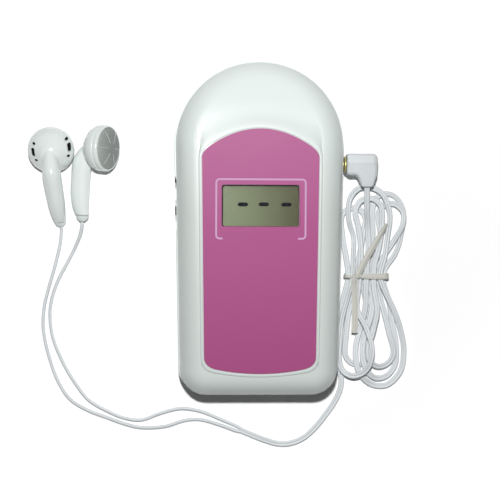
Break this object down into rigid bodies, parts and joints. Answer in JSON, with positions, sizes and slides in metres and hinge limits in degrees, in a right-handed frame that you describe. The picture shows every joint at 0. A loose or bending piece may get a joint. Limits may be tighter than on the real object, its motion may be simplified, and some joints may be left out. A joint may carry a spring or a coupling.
{
  "type": "fetal doppler monitor",
  "caption": "Handheld fetal heartbeat monitor with arched white case, coloured face panel, display window, side thumbwheel, rear probe and battery door, and plugged-in corded earphones.",
  "frame": {"origin": "middle of the flat back that the case rests on, level with the middle of its length", "axes": "+Z out of the face, +Y towards the arched probe end, +X towards the side with the earphone socket"},
  "size_m": [0.1395, 0.141, 0.027],
  "materials": {
    "case_white": "satin moulded white",
    "label_pink": "printed film, upper half lighter than the lower",
    "window_clear": "clear polished pane",
    "display_grey": "grey-green liquid crystal cell",
    "black_plastic": "fine matte",
    "elastomer": "soft matte",
    "board_green": "solder mask",
    "crystal": "fired, silvered",
    "backing": "cast filler",
    "probe_grey": "fine matte",
    "steel": "plain plated",
    "gold": "thin gold plating",
    "cell_jacket": "plain sleeve",
    "cord_white": "soft satin",
    "bud_white": "polished",
    "grille_grey": "fine perforated",
    "tie_white": "thin strip"
  },
  "bodies": {
    "monitor": {"front_shell": "case_white", "rear_shell": "case_white", "face_label": "label_pink", "window_lens": "window_clear", "lcd_panel": "display_grey", "lcd_frame": "black_plastic", "zebra_strip_1": "elastomer", "zebra_strip_2": "elastomer", "main_board": "board_green", "controller_chip": "black_plastic", "amplifier_chip": "black_plastic", "filter_capacitor": "steel", "volume_pot": "black_plastic", "headphone_socket": "black_plastic", "probe_lens": "probe_grey", "crystal_transmit": "crystal", "crystal_receive": "crystal", "crystal_divider": "backing", "probe_backing": "backing", "probe_cap": "black_plastic", "battery_1": "cell_jacket", "battery_2": "cell_jacket", "contact_link": "steel", "contact_plate_1": "steel", "contact_plate_2": "steel", "battery_spring_1": "steel", "battery_spring_2": "steel", "case_screw_1": "steel", "case_screw_2": "steel", "case_screw_3": "steel", "case_screw_4": "steel", "board_screw_1": "steel", "board_screw_2": "steel"},
    "volume_knob": {"volume_wheel": "case_white", "pot_shaft": "steel", "wheel_screw": "steel"},
    "battery_cover": {"battery_door": "case_white"},
    "headset": {"plug_body": "cord_white", "plug_collar": "gold", "plug_sleeve": "gold", "plug_ring": "gold", "plug_tip": "gold", "plug_insulator_1": "black_plastic", "plug_insulator_2": "black_plastic", "cord_lead_in": "cord_white", "cord_hank": "cord_white", "hank_tie": "tie_white", "cord_tail": "cord_white", "lead_left": "cord_white", "lead_right": "cord_white", "earphone_left_housing": "bud_white", "earphone_left_rim": "bud_white", "earphone_left_grille": "grille_grey", "earphone_left_driver": "black_plastic", "earphone_left_boot": "cord_white", "earphone_right_housing": "bud_white", "earphone_right_rim": "bud_white", "earphone_right_grille": "grille_grey", "earphone_right_driver": "black_plastic", "earphone_right_boot": "cord_white"}
  },
  "joints": [
    {"name": "volume_turn", "type": "hinge", "parent": "monitor", "child": "volume_knob", "pos_m": [-0.0213, 0.008, 0.0079], "axis": [0, 0, 1], "range_deg": [0, 300]},
    {"name": "battery_door_slide", "type": "slide", "parent": "monitor", "child": "battery_cover", "axis": [0, -1, 0], "range_m": [0, 0.006]},
    {"name": "plug_pull", "type": "slide", "parent": "monitor", "child": "headset", "axis": [1, 0, 0], "range_m": [0, 0.0155]}
  ]
}
